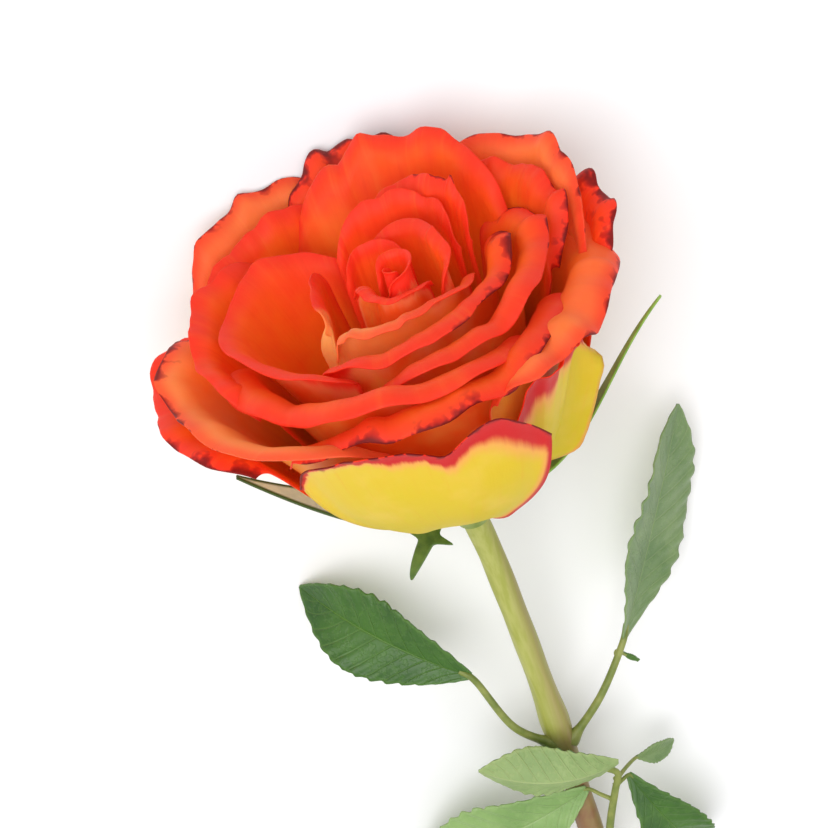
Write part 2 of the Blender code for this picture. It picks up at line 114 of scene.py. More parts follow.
# How each free edge is finished. Three numbers are the values at its left end, its middle and its right end.
# roll is how far the edge curls outwards, in degrees, over margin millimetres. ruffle is the height of its
# waves, and waves is how many there are. burn is how deep the dark edge is, and blush how deep the crimson
# margin on the outside is, both in millimetres. warm is how orange the outside is, from 0 to 1. bumps
# lengthen the petal: place across it, millimetres and width. pale is how peachy the petal is.
Finish = namedtuple("Finish", "roll margin ruffle waves burn blush warm bumps pale",
                    defaults=((8, 8, 8), 1.0, (), (0, 0, 0)))
FINISH = {
    "front_guard": Finish((50, 20, 20), 4.0, 0.6, 2.0, (0.8, 0.5, 0.4), (1.5, 3, 9), 0.0,
                          ((-0.35, 1.0, 0.2), (0.3, -2.5, 0.12), (0.68, 3.5, 0.2))),
    "right_guard": Finish((20, 30, 50), 4.0, 0.8, 3.0, (0.0, 0.0, 0.2), (11, 6, 3), 0.0),
    "left_guard": Finish((50, 55, 80), 7.0, 1.3, 3.0, (0.0, 0.0, 1.6), (5, 5, 5), 0.4,
                         ((-0.4, 1.0, 0.12), (0.1, -1.5, 0.1), (0.5, 1.5, 0.15))),
    "back_left_guard": Finish((40, 55, 50), 6.0, 0.8, 3.0, (0.0, 0.5, 0.1), (5, 5, 5), 0.2,
                              ((-0.5, -1.5, 0.15), (0.0, 2.0, 0.08), (0.5, 1.2, 0.12)), (0.1, 0.3, 0.1)),
    "back_right_guard": Finish((60, 80, 60), 6.0, 0.6, 3.0, (1.2, 1.8, 1.2), (9, 9, 9), 0.2,
                               ((-0.3, 1.5, 0.15), (0.3, 2.0, 0.12))),
    "back_guard": Finish((40, 80, 40), 6.0, 0.9, 3.0, (0.6, 2.0, 0.8), (8, 8, 8), 0.2,
                         ((0.0, 2.0, 0.12), (0.35, 1.5, 0.1))),
    "back_right_outer": Finish((40, 60, 50), 6.0, 0.7, 3.0, (0.0, 0.5, 0.0), (5, 5, 5), 0.4,
                               ((-0.3, 1.5, 0.12), (0.0, 2.0, 0.1), (0.4, -2.0, 0.2)), (0.1, 0.3, 0.1)),
    "left_outer": Finish((60, 45, 100), 7.0, 1.1, 3.0, (1.6, 0.4, 0.0), (5, 5, 5), 0.7,
                         ((-0.35, 1.5, 0.1), (-0.1, -1.5, 0.1), (0.4, 1.2, 0.15)), (0.3, 0.5, 0.5)),
    "right_outer": Finish((70, 140, 110), 14.0, 0.9, 2.0, (0.0, 0.5, 1.2), (5, 5, 5), 0.5,
                          ((-0.3, 1.5, 0.1), (0.25, 2.5, 0.07)), (0.3, 0.2, 0.0)),
    "back_left_outer": Finish((45, 50, 50), 6.0, 0.9, 3.0, (0.0, 0.0, 0.2), (8, 8, 8), 0.8,
                              ((-0.3, 1.2, 0.1), (0.2, -1.2, 0.1))),
    "front_outer": Finish((100, 150, 110), 11.0, 0.8, 2.0, (0.0, 0.8, 0.0), (7, 7, 7), 1.0,
                          ((-0.35, 1.5, 0.08), (0.3, -1.5, 0.1))),
    "back_right_middle": Finish((120, 60, 40), 6.0, 0.9, 3.0, (1.2, 0.0, 0.0), (8, 8, 8), 0.9,
                                ((-0.55, 2.5, 0.1), (0.3, -1.0, 0.12))),
    "back_middle": Finish((50, 60, 50), 6.5, 1.0, 3.0, (0.0, 0.0, 0.0), (8, 8, 8), 0.9,
                          ((-0.3, 1.5, 0.1), (0.02, -2.0, 0.14), (0.3, 1.8, 0.08), (0.5, -2.0, 0.06))),
    "left_middle": Finish((40, 45, 110), 7.0, 0.9, 3.0, (0.0, 0.0, 0.0), (8, 8, 8), 1.0,
                          ((-0.3, 1.5, 0.1), (0.3, -1.0, 0.12))),
    "front_middle": Finish((120, 140, 110), 10.0, 0.7, 2.0, (0.0, 0.0, 0.0), (8, 8, 8), 1.0,
                           ((-0.3, -1.2, 0.08), (0.2, 1.5, 0.1))),
    "right_middle": Finish((100, 130, 70), 9.0, 0.8, 2.0, (0.0, 0.0, 1.3), (8, 8, 8), 1.0,
                           ((-0.2, -1.0, 0.1), (0.5, 3.0, 0.07))),
    "left_inner": Finish((35, 45, 90), 6.0, 0.8, 2.0, (0.0, 0.0, 0.0), (8, 8, 8), 1.0,
                         ((-0.5, 1.5, 0.1), (-0.1, -1.0, 0.12))),
    "right_inner": Finish((90, 130, 90), 8.5, 0.6, 2.0, (0.0, 0.3, 1.6), (8, 8, 8), 1.0, ((0.7, 2.5, 0.07),)),
    "back_inner": Finish((20, 50, 45), 5.0, 0.8, 2.0, (0.0, 0.3, 0.0), (8, 8, 8), 1.0, ((-0.35, 2.5, 0.1),)),
    "left_heart": Finish((30, 60, 100), 4.5, 0.2, 2.0, (0.0, 0.0, 0.0), (2, 2, 2), 0.9, (), (0, -1, 3)),
    "back_heart": Finish((20, 45, 30), 4.0, 0.6, 2.0, (0.0, 0.0, 0.0), (8, 8, 8), 1.0,
                         ((-0.3, -1.5, 0.12), (0.25, -1.0, 0.1))),
    "front_heart": Finish((130, 120, 90), 7.0, 0.4, 2.0, (0.0, 0.0, 0.0), (5, 5, 5), 0.9, (), (1.5, 0.5, 0)),
    "right_heart": Finish((60, 80, 60), 4.0, 0.4, 2.0, (0.0, 0.0, 0.0), (6, 6, 6), 1.0, ((0.1, 1.0, 0.1),)),
    "shade_heart": Finish((20, 30, 20), 2.5, 0.3, 2.0, (0.0, 0.0, 0.0), (6, 6, 6), 1.0),
    "lip_heart": Finish((120, 130, 100), 4.5, 0.3, 2.0, (0.0, 0.0, 0.0), (4, 4, 4), 1.0),
    "curl_heart": Finish((60, 70, 60), 2.0, 0.2, 2.0, (0.0, 0.0, 0.0), (6, 6, 6), 1.0),
    "bud_heart": Finish((20, 30, 20), 0.8, 0.1, 2.0, (0.0, 0.0, 0.0), (6, 6, 6), 1.0),
}

SepalShape = namedtuple("SepalShape", "name azimuth reach drop width bow")

# Each sepal leaves the rim of the receptacle; reach and drop are where its tip ends up, as distance from the
# axis and height, and bow swings its middle towards larger azimuths
SEPALS = [
    SepalShape("sepal_front", -49, 21, -10, 5, 0),
    SepalShape("sepal_left", -96, 43, 15, 18, 0),
    SepalShape("sepal_back_left", -168, 28, 7, 8, 0),
    SepalShape("sepal_back_right", 130, 32, 2, 8, 0),
    SepalShape("sepal_right", 77, 43.5, 35, 10, 3),
]

LeafShape = namedtuple("LeafShape", "name foot tip turn width arch fold")

# Foot and tip of each blade in x, y, z from the point on the table below the petals' feet; turn rolls the
# blade about its midrib, arch lifts its middle and fold lifts its sides
LEAVES = [
    LeafShape("leaf_left_blade", (-45.7, 11, 19), (-20.7, 40.1, 0.2), -12, 20, 4, 14),
    LeafShape("leaf_right_blade", (-49.7, -22.6, 16), (-6, -49, 9), 50, 25, 0.5, 10),
    LeafShape("leaf_right_bract", (-53.4, -21.4, 14.9), (-57, -24.3, 12.9), 20, 1.4, 0, 5),
    LeafShape("lower_leaflet_tip", (-75, -13, 20), (-67, 16, 19), 160, 16, -5, 30),
    LeafShape("lower_leaflet_left", (-81, -5, 14.5), (-90, 34, 0.2), -8, 22, 5, 12),
    LeafShape("lower_leaflet_right", (-80, -14.5, 16), (-107, -26, 0.15), 6, 15, 7, 12),
    LeafShape("lower_leaflet_small", (-78.8, -17.3, 12), (-79, -26.5, 9), 20, 6, 1, 12),
]

StalkShape = namedtuple("StalkShape", "node radius route")

# The CAD node that each stalk stands for, its radius and its route from foot to end
STALKS = [
    StalkShape("leaf_left_stalk", 0.95,
               [(-68.5, -0.8, 14.2), (-60, 6, 18), (-47.2, 10.4, 19.2), (-43.9, 13, 18.5)]),
    StalkShape("leaf_right_stalk", 0.95,
               [(-69.5, -5, 13.6), (-61, -14, 15.5), (-51.2, -21.6, 16.2), (-47.2, -24, 15.3)]),
    StalkShape("lower_leaf_stalk", 0.95,
               [(-101.5, -4.2, 11), (-90, -7.5, 15.5), (-82, -10.5, 18.3), (-77.8, -12.2, 19.2),
                (-75.3, -9.8, 19.7)]),
    StalkShape("lower_leaf_stalk", 0.5,
               [(-84, -9.6, 17.6), (-82.6, -7.5, 16.4), (-81, -5, 14.7), (-81.6, -2, 14.2)]),
    StalkShape("lower_leaf_stalk", 0.5,
               [(-81, -10.9, 18.2), (-80.4, -12.8, 17.4), (-80.4, -14.8, 16.2), (-83, -15.8, 16.4)]),
    StalkShape("leaf_right_bract", 0.5,
               [(-52.6, -20.2, 16), (-53.1, -20.8, 15.4), (-53.5, -21.4, 14.9), (-54.2, -22, 14.5)]),
    StalkShape("lower_leaf_stalk", 0.5,
               [(-79.5, -11.6, 18.4), (-78.9, -14.2, 15.6), (-78.9, -16.9, 12.4), (-78.9, -18.8, 11.7)]),
]


# ---------------------------------------------------------------- shapes of the bloom

def polar(azimuth, distance, height):
    """A point of the bloom frame from its azimuth, its distance from the axis and its height on it."""
    turn = np.radians(azimuth)
    return np.stack([distance * np.cos(turn), distance * np.sin(turn), height + 0 * turn], axis=-1)


def bloom_to_world(points):
    """Bloom frame (front, right, axis) to world x, y, z, all in millimetres."""
    tilt = math.radians(BLOOM_TILT)
    front, right, axis = points[..., 0], points[..., 1], points[..., 2]
    x = axis * math.cos(tilt) - front * math.sin(tilt)
    z = axis * math.sin(tilt) + front * math.cos(tilt) + BASE_HEIGHT
    return np.stack([x, -right, z], axis=-1) + CENTRE


def smooth_step(share):
    share = np.clip(share, 0, 1)
    return share * share * (3 - 2 * share)


def three_way(values, t):
    """A parabola through the values at t = -1, 0 and 1."""
    left, middle, right = values
    return middle + (right - left) / 2 * t + ((left + right) / 2 - middle) * t * t


def free_edge(petal, t):
    """Azimuth, distance and height of a petal's free edge."""
    corners = zip(petal.left, petal.middle, petal.right)
    return np.stack([three_way(values, t) for values in corners], axis=-1)


def petal_grid(petal, outward, across, along):
    """Rows of points from a petal's foot to its free edge; outward is 0 at the heart and 1 outermost."""
    s, t = np.meshgrid(np.linspace(0, 1, along + 1), np.linspace(-1, 1, across + 1), indexing="ij")
    edge = free_edge(petal, t)
    foot = np.array([INNER_FOOT + (OUTER_FOOT - INNER_FOOT) * outward, 0.8 - 1.6 * outward])
    start = math.radians(18 + 66 * outward ** 0.7)
    flare = math.radians(petal.flare)
    end = edge[..., 1:]
    span = np.linalg.norm(end - foot, axis=-1)[..., None]
    leave = foot + 0.42 * span * np.array([math.sin(start), math.cos(start)])
    arrive = end - 0.3 * span * np.array([math.sin(flare), math.cos(flare)])
    share = (s * (1 - (0.05 + 0.13 * outward) * np.abs(t) ** 5))[..., None]
    line = ((1 - share) ** 3 * foot + 3 * share * (1 - share) ** 2 * leave
            + 3 * share ** 2 * (1 - share) * arrive + share ** 3 * end)
    spread = np.sin(np.pi / 2 * np.clip(s / 0.75, 0, 1)) ** 0.9
    claw = petal.middle[0] + CLAW_HALF_ANGLE * t
    azimuth = claw + (edge[..., 0] - claw) * spread
    return polar(azimuth, line[..., 0], line[..., 1])


def grid_faces(rows, columns, offset=0):
    return [(offset + i * columns + j, offset + i * columns + j + 1,
             offset + (i + 1) * columns + j + 1, offset + (i + 1) * columns + j)
            for i in range(rows - 1) for j in range(columns - 1)]


def lay_outside(grid, inner, clearance, far=150.0):
    """Push a petal away from the axis until it clears the surface that the petals inside it make."""
    rows, columns = grid.shape[:2]
    distance = np.hypot(grid[..., 0], grid[..., 1])
    azimuth = np.arctan2(grid[..., 1], grid[..., 0])
    needed = np.zeros((rows, columns))
    for i in range(1, rows):
        for j in range(columns):
            reach = max(distance[i, j], 5)
            for side in (-1, -0.5, 0, 0.5, 1):
                for lift in (-1, 0, 1):
                    turn = azimuth[i, j] + side * 4.6 / reach
                    height = grid[i, j, 2] + lift * 2.2
                    out = Vector((math.cos(turn), math.sin(turn), 0))
                    start = out * far + Vector((0, 0, height))
                    spot, normal, _, _ = inner.ray_cast(start, -out, far)
                    if spot is not None:
                        facing = max(abs(normal.dot(out)), 0.45)
                        needed[i, j] = max(needed[i, j], math.hypot(spot.x, spot.y) + clearance / facing)
    push = np.maximum(needed - distance, 0)
    push *= smooth_step(np.linspace(0, 1, rows) / 0.3)[:, None]
    eased = push.copy()
    padded = np.pad(push, 1, mode="edge")
    for row_shift in (0, 1, 2):
        for column_shift in (0, 1, 2):
            eased += padded[row_shift:row_shift + rows, column_shift:column_shift + columns]
    push = np.maximum(push, eased / 10)
    scale = (distance + push) / np.maximum(distance, 0.01)
    moved = grid.copy()
    moved[..., 0] *= scale
    moved[..., 1] *= scale
    return moved


def settled_petals(across, along):
    """From the heart outwards, each petal is laid outside the ones that are there already."""
    points, faces, settled = [], [], {}
    for place in reversed(range(len(PETALS))):
        petal = PETALS[place]
        outward = 1 - place / (len(PETALS) - 1)
        grid = petal_grid(petal, outward, across, along)
        if points:
            clearance = PETAL_SHEET + GAP + 0.2 + 0.25 * outward
            grid = lay_outside(grid, BVHTree.FromPolygons(points, faces), clearance)
        settled[petal.name] = grid
        offset = len(points)
        points += [Vector(point) for point in grid.reshape(-1, 3)]
        faces += grid_faces(along + 1, across + 1, offset)
    return settled


# ---------------------------------------------------------------- fine surfaces

def smooth_between(values, places):
    """Catmull-Rom through evenly spaced values along the first axis, read at places from 0 to 1."""
    count = len(values)
    padded = np.concatenate([[2 * values[0] - values[1]], values, [2 * values[-1] - values[-2]]])
    where = np.clip(places, 0, 1) * (count - 1)
    first = np.minimum(where.astype(int), count - 2)
    u = (where - first).reshape((-1,) + (1,) * (values.ndim - 1))
    a, b, c, d = (padded[first + k] for k in range(4))
    return 0.5 * (2 * b + (c - a) * u + (2 * a - 5 * b + 4 * c - d) * u ** 2
                  + (3 * b - a - 3 * c + d) * u ** 3)


def refine(grid, across, along):
    """The same sheet with more points."""
    rows = smooth_between(grid, np.linspace(0, 1, along + 1))
    return smooth_between(rows.transpose(1, 0, 2), np.linspace(0, 1, across + 1)).transpose(1, 0, 2)


def along_length(grid):
    """How far each point is from the sheet's first row, measured along its own column."""
    steps = np.linalg.norm(np.diff(grid, axis=0), axis=-1)
    return np.concatenate([np.zeros((1, grid.shape[1])), np.cumsum(steps, axis=0)])


def outward_normals(grid):
    """Unit normals that point away from the axis side of a sheet."""
    normal = np.cross(np.gradient(grid, axis=1), np.gradient(grid, axis=0))
    return normal / np.maximum(np.linalg.norm(normal, axis=-1, keepdims=True), 1e-9)


def wavy(seed, count, lengths):
    """A smooth random line with waves of the given lengths, about -1 to 1."""
    draw = np.random.default_rng(seed)
    place = np.linspace(-1, 1, count)
    line = np.zeros(count)
    for length in lengths:
        line += np.sin(2 * np.pi * (place / length + draw.random())) * draw.uniform(0.5, 1)
    return line / len(lengths)


def roll_margin(grid, finish, seed):
    """Extend each meridian a little and curl its last millimetres outwards."""
    columns = grid.shape[1]
    t = np.linspace(-1, 1, columns)
    curl = three_way(finish.roll, t) * (1 + 0.18 * wavy(seed, columns, (0.9, 0.5, 0.33)))
    curl = np.clip(curl, 0, 170)
    margin = finish.margin * (1 + 0.15 * wavy(seed + 1, columns, (1.3, 0.6))) * (1 - 0.3 * t ** 4)
    bump = 0.35 * finish.ruffle * wavy(seed + 11, columns, (0.45, 0.27, 0.16))
    for spot, size, width in finish.bumps:
        bump += size * np.exp(-((t - spot) / width) ** 2)
    extra = margin * 0.5 * np.clip(curl / 100, 0, 1) + np.maximum(bump, 0)
    # Carry the sheet on beyond its edge, then measure it out again in rows that are closer at the edge
    dense = refine(grid, columns - 1, 160)
    lean = dense[-1] - dense[-5]
    lean /= np.linalg.norm(lean, axis=-1, keepdims=True)
    beyond = dense[-1] + lean * extra[:, None] * np.linspace(0.05, 1, 20)[:, None, None]
    dense = np.concatenate([dense, beyond])
    length = along_length(dense)
    total = length[-1] + np.minimum(bump, 0)
    body = np.linspace(0, 1, FINE_BODY + 1)[:-1, None] * (total - margin)
    edge = total - margin + np.linspace(0, 1, FINE_MARGIN + 1)[:, None] * margin
    stations = np.concatenate([body, edge])
    sheet = np.stack([[np.interp(stations[:, j], length[:, j], dense[:, j, k]) for j in range(columns)]
                      for k in range(3)], axis=-1).transpose(1, 0, 2)
    normal = outward_normals(sheet)
    step = np.diff(sheet, axis=0)
    size = np.linalg.norm(step, axis=-1, keepdims=True)
    middle = (stations[1:] + stations[:-1]) / 2
    bend = np.radians(curl) * np.clip(1 - (total - middle) / margin, 0, 1) ** 1.15
    aside = size * (normal[1:] + normal[:-1]) / 2
    turned = np.cos(bend)[..., None] * step + np.sin(bend)[..., None] * aside
    rolled = sheet.copy()
    rolled[1:] = sheet[:1] + np.cumsum(turned, axis=0)
    return rolled, stations / total, total - stations


def ruffled(sheet, share, finish, seed):
    """Waves that grow towards the free edge, and sides that ease outwards."""
    columns = sheet.shape[1]
    t = np.linspace(-1, 1, columns)
    wave = np.sin(2 * np.pi * (finish.waves * t / 2 + np.random.default_rng(seed).random()))
    wave = wave * 0.7 + 0.6 * wavy(seed + 3, columns, (0.55, 0.35, 0.22))
    lift = finish.ruffle * share ** 4 * wave
    broad = 0.35 * wavy(seed + 5, columns, (1.7, 0.9)) * np.sin(np.pi * share)
    side = 0.9 * np.clip((np.abs(t) - 0.86) / 0.14, 0, 1) ** 2 * share
    return sheet + outward_normals(sheet) * (lift + broad + side)[..., None]


def shell_mesh(name, sheet, thickness, facts):
    """A closed thin body about a sheet: its inner face has slot 0 and its outer face slot 1.

    thickness is in millimetres for each point, and facts are named numbers for each point.
    """
    rows, columns = sheet.shape[:2]
    normal = outward_normals(sheet)
    half = thickness[..., None] / 2
    inner = (sheet - normal * half).reshape(-1, 3)
    outer = (sheet + normal * half).reshape(-1, 3)
    count = rows * columns
    quads = grid_faces(rows, columns)
    faces = [tuple(reversed(quad)) for quad in quads] + [tuple(count + k for k in quad) for quad in quads]
    slots = [0] * len(quads) + [1] * len(quads)
    ring = (list(range(columns)) + [i * columns + columns - 1 for i in range(1, rows)]
            + [(rows - 1) * columns + j for j in range(columns - 2, -1, -1)]
            + [i * columns for i in range(rows - 2, 0, -1)])
    for a, b in zip(ring, ring[1:] + ring[:1]):
        faces.append((a, b, count + b, count + a))
        slots.append(0)
    mesh = bpy.data.meshes.new(name)
    mesh.from_pydata((np.concatenate([inner, outer]) * MM).tolist(), [], faces)
    if mesh.polygons[0].normal.dot(Vector(normal[0, 0])) > 0:
        raise ValueError(name + " is inside out")
    mesh.polygons.foreach_set("material_index", slots)
    mesh.shade_smooth()
    for fact, values in facts.items():
        layer = mesh.attributes.new(fact, "FLOAT", "POINT")
        layer.data.foreach_set("value", np.tile(values.reshape(-1), 2).astype(np.float32))
    return mesh


def place(mesh, name, slot, *nodes):
    """Add a piece to the rose: it rides with the body and stands for its CAD nodes."""
    thing = bpy.data.objects.new(name, mesh)
    bpy.context.scene.collection.objects.link(thing)
    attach(thing, "root")
    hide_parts(*nodes)


# ---------------------------------------------------------------- materials

class Nodes:
    """Short calls for the nodes of one Principled material."""

    def __init__(self, name, roughness, specular=0.5):
        self.material = bpy.data.materials.new(name)
        self.material.use_nodes = True
        self.tree = self.material.node_tree
        self.shader = self.tree.nodes["Principled BSDF"]
        self.shader.inputs["Roughness"].default_value = roughness
        self.shader.inputs["Specular IOR Level"].default_value = specular

    def new(self, kind):
        return self.tree.nodes.new(kind)

    def put(self, socket, value):
        if isinstance(value, bpy.types.NodeSocket):
            self.tree.links.new(value, socket)
        else:
            socket.default_value = value

    def fact(self, name):
        node = self.new("ShaderNodeAttribute")
        node.attribute_name = name
        return node.outputs["Fac"]

    def math(self, operation, a, b=0.0, clamp=False):
        node = self.new("ShaderNodeMath")
        node.operation = operation
        node.use_clamp = clamp
        self.put(node.inputs[0], a)
        self.put(node.inputs[1], b)
        return node.outputs[0]

    def span(self, value, low, high, to_low=0.0, to_high=1.0):
        node = self.new("ShaderNodeMapRange")
        node.interpolation_type = "SMOOTHSTEP"
        for socket, number in zip(node.inputs[:5], (value, low, high, to_low, to_high)):
            self.put(socket, number)
        return node.outputs[0]

    def ramp(self, value, *stops):
        node = self.new("ShaderNodeValToRGB")
        elements = node.color_ramp.elements
        while len(elements) < len(stops):
            elements.new(0.5)
        for element, (spot, colour) in zip(elements, stops):
            element.position = spot
            element.color = (*linear(colour), 1)
        self.put(node.inputs[0], value)
        return node.outputs[0]

    def mix(self, share, a, b):
        node = self.new("ShaderNodeMix")
        node.data_type = "RGBA"
        self.put(node.inputs[0], share)
        self.put(node.inputs[6], a if isinstance(a, bpy.types.NodeSocket) else (*linear(a), 1))
        self.put(node.inputs[7], b if isinstance(b, bpy.types.NodeSocket) else (*linear(b), 1))
        return node.outputs[2]

    def combine(self, x, y, z):
        node = self.new("ShaderNodeCombineXYZ")
        for socket, value in zip(node.inputs, (x, y, z)):
            self.put(socket, value)
        return node.outputs[0]

    def noise(self, scale, detail=3.0, vector=None, rough=0.55):
        node = self.new("ShaderNodeTexNoise")
        node.inputs["Scale"].default_value = scale
        node.inputs["Detail"].default_value = detail
        node.inputs["Roughness"].default_value = rough
        if vector is None:
            vector = self.new("ShaderNodeTexCoord").outputs["Object"]
        self.put(node.inputs["Vector"], vector)
        return node.outputs["Fac"]

    def bump(self, height, strength, distance):
        node = self.new("ShaderNodeBump")
        node.inputs["Strength"].default_value = strength
        node.inputs["Distance"].default_value = distance
        self.put(node.inputs["Height"], height)
        self.put(self.shader.inputs["Normal"], node.outputs[0])

    def colour(self, socket):
        self.put(self.shader.inputs["Base Color"], socket)

    def painted_glow(self, strength):
        """Painted glow: emission in the petal's own colour, growing towards its free edge, that stands in for
        light coming through a thin petal.
        """
        own_colour = self.shader.inputs["Base Color"].links[0].from_socket
        towards_edge = self.span(self.fact("share"), 0.35, 0.95, 0.0, strength)
        self.put(self.shader.inputs["Emission Color"], own_colour)
        self.put(self.shader.inputs["Emission Strength"], towards_edge)

    def soft(self, weight, scale, radius):
        self.shader.inputs["Subsurface Weight"].default_value = weight
        self.shader.inputs["Subsurface Scale"].default_value = scale
        self.shader.inputs["Subsurface Radius"].default_value = radius


def linear(colour):
    """An sRGB colour given as 0 to 255 to the linear numbers that shaders take."""
    return tuple((c / 255 / 12.92) if c <= 10 else ((c / 255 + 0.055) / 1.055) ** 2.4 for c in colour)


def petal_veins(nodes):
    """Fine fan-like streaks that run from the foot to the free edge."""
    across = nodes.math("MULTIPLY", nodes.fact("across"), 13.0)
    along = nodes.math("MULTIPLY", nodes.fact("share"), 1.4)
    return nodes.noise(1.0, 4.0, nodes.combine(across, along, nodes.fact("seed")), 0.6)


def burnt(nodes, colour):
    """Dark, dried edge, as many millimetres deep as the burn fact says."""
    patchy = nodes.span(nodes.noise(300.0, 2.0), 0.35, 0.65, 0.3, 1.7)
    reach = nodes.math("SUBTRACT", nodes.math("MULTIPLY", nodes.fact("burn"), patchy), 0.25)
    edge = nodes.math("ADD", nodes.fact("lip"), 0.05)
    depth = nodes.math("DIVIDE", edge, nodes.math("MAXIMUM", reach, 0.01))
    near = nodes.mix(nodes.span(depth, 0.9, 2.8, 0.65, 0.0), colour, (150, 18, 20))
    return nodes.mix(nodes.span(depth, 0.3, 1.3, 0.85, 0.0), near, (80, 12, 12))


def petal_skin(nodes, veins, painted_glow):
    """Fine relief, the light that soaks through a petal, and a painted glow near its free edge."""
    grain = nodes.math("MULTIPLY", nodes.noise(1500.0, 2.0), 0.3)
    nodes.bump(nodes.math("ADD", veins, grain), 0.2, 0.0004)
    nodes.soft(0.3, 0.003, PETAL_SOAK)
    nodes.painted_glow(painted_glow)


def petal_face_material():
    """Inside of a petal: orange at the foot, scarlet towards the free edge."""
    nodes = Nodes("petal_face", 0.55, 0.2)
    veins = petal_veins(nodes)
    clouds = nodes.noise(60.0, 3.0)
    share = nodes.fact("share")
    uneven = nodes.math("MULTIPLY", nodes.math("SUBTRACT", clouds, 0.5), 0.6)
    base = nodes.ramp(nodes.math("ADD", share, uneven), (0.15, (250, 158, 40)), (0.5, (251, 128, 26)),
                      (0.78, (249, 98, 22)), (0.97, (244, 68, 26)))
    rim = nodes.span(nodes.fact("rim"), 0.0, 5.0, 1.0, 0.0)
    base = nodes.mix(nodes.math("MULTIPLY", rim, 0.7), base, (236, 42, 30))
    base = nodes.mix(nodes.span(veins, 0.5, 0.8, 0.0, 0.35), base, (226, 50, 18))
    base = nodes.mix(nodes.span(veins, 0.5, 0.2, 0.0, 0.15), base, (250, 140, 54))
    outer_part = nodes.span(nodes.math("ADD", clouds, share), 0.9, 1.4)
    pale = nodes.math("MULTIPLY", nodes.fact("pale"), outer_part)
    pale = nodes.math("MULTIPLY", pale, nodes.span(nodes.fact("rim"), 0.5, 4.0, 0.3, 1.0))
    nodes.colour(burnt(nodes, nodes.mix(pale, base, (255, 172, 96))))
    # A painted glow near the free edge, stronger than on the outside
    petal_skin(nodes, veins, 0.07)
    return nodes.material


def petal_back_material():
    """Outside of a petal: yellow with a crimson margin that feathers down the veins, or orange further in."""
    nodes = Nodes("petal_back", 0.5, 0.25)
    veins = petal_veins(nodes)
    share = nodes.fact("share")
    yellow = nodes.ramp(share, (0.05, (170, 164, 46)), (0.3, (206, 180, 20)), (0.75, (216, 184, 24)),
                        (0.95, (222, 186, 52)))
    orange = nodes.ramp(share, (0.1, (246, 166, 44)), (0.5, (246, 116, 28)), (0.85, (244, 86, 26)))
    base = nodes.mix(nodes.fact("warm"), yellow, orange)
    base = nodes.mix(nodes.span(veins, 0.5, 0.8, 0.0, 0.25), base, (220, 140, 40))
    base = nodes.mix(nodes.span(nodes.noise(80.0, 3.0), 0.45, 0.75, 0.0, 0.3), base, (240, 196, 96))
    feather = nodes.math("MULTIPLY", nodes.math("SUBTRACT", veins, 0.5), 3.5)
    feather = nodes.math("ADD", nodes.fact("lip"), feather)
    depth = nodes.math("DIVIDE", feather, nodes.math("MAXIMUM", nodes.fact("blush"), 0.05))
    base = nodes.mix(nodes.span(depth, 0.8, 1.6, 0.6, 0.0), base, (244, 140, 96))
    crimson = nodes.mix(nodes.fact("warm"), (196, 28, 30), (240, 50, 30))
    base = nodes.mix(nodes.span(depth, 0.6, 1.05, 1.0, 0.0), base, crimson)
    base = nodes.mix(nodes.math("MULTIPLY", nodes.fact("pale"), 0.6, True), base, (255, 176, 100))
    nodes.colour(burnt(nodes, base))
    # A fainter painted glow near the free edge
    petal_skin(nodes, veins, 0.03)
    return nodes.material


def leaf_veins(nodes):
    """1 on the midrib and side veins, 0 between them."""
    across = nodes.math("ABSOLUTE", nodes.fact("across"))
    share = nodes.fact("share")
    swept = nodes.math("SUBTRACT", share, nodes.math("MULTIPLY", across, VEIN_SWEEP))
    phase = nodes.math("FRACT", nodes.math("MULTIPLY", swept, LEAF_VEINS))
    side = nodes.span(nodes.math("ABSOLUTE", nodes.math("SUBTRACT", phase, 0.5)), 0.0, 0.09, 1.0, 0.0)
    fine = nodes.span(nodes.noise(700.0, 3.0), 0.5, 0.6, 0.0, 0.25)
    midrib = nodes.span(across, 0.0, 0.05, 1.0, 0.0)
    return nodes.math("MAXIMUM", nodes.math("MAXIMUM", nodes.math("MULTIPLY", side, 0.6), midrib), fine)


def leaf_material(name, dark, light, vein, roughness, raised):
    """Mottled blade with paler veins, which are raised, or sunk if raised is negative."""
    nodes = Nodes(name, roughness, 0.5)
    veins = leaf_veins(nodes)
    clouds = nodes.noise(70.0, 4.0)
    base = nodes.mix(nodes.span(clouds, 0.3, 0.7), dark, light)
    base = nodes.mix(nodes.span(nodes.fact("rim"), 0.0, 1.2, 0.35, 0.0), base, vein)
    nodes.colour(nodes.mix(nodes.math("MULTIPLY", veins, 0.55), base, vein))
    grain = nodes.math("MULTIPLY", nodes.noise(1200.0, 3.0), 0.2)
    nodes.bump(nodes.math("ADD", nodes.math("MULTIPLY", veins, raised), grain), 0.5, 0.0005)
    nodes.soft(0.06, 0.001, GREEN_SOAK)
    return nodes.material


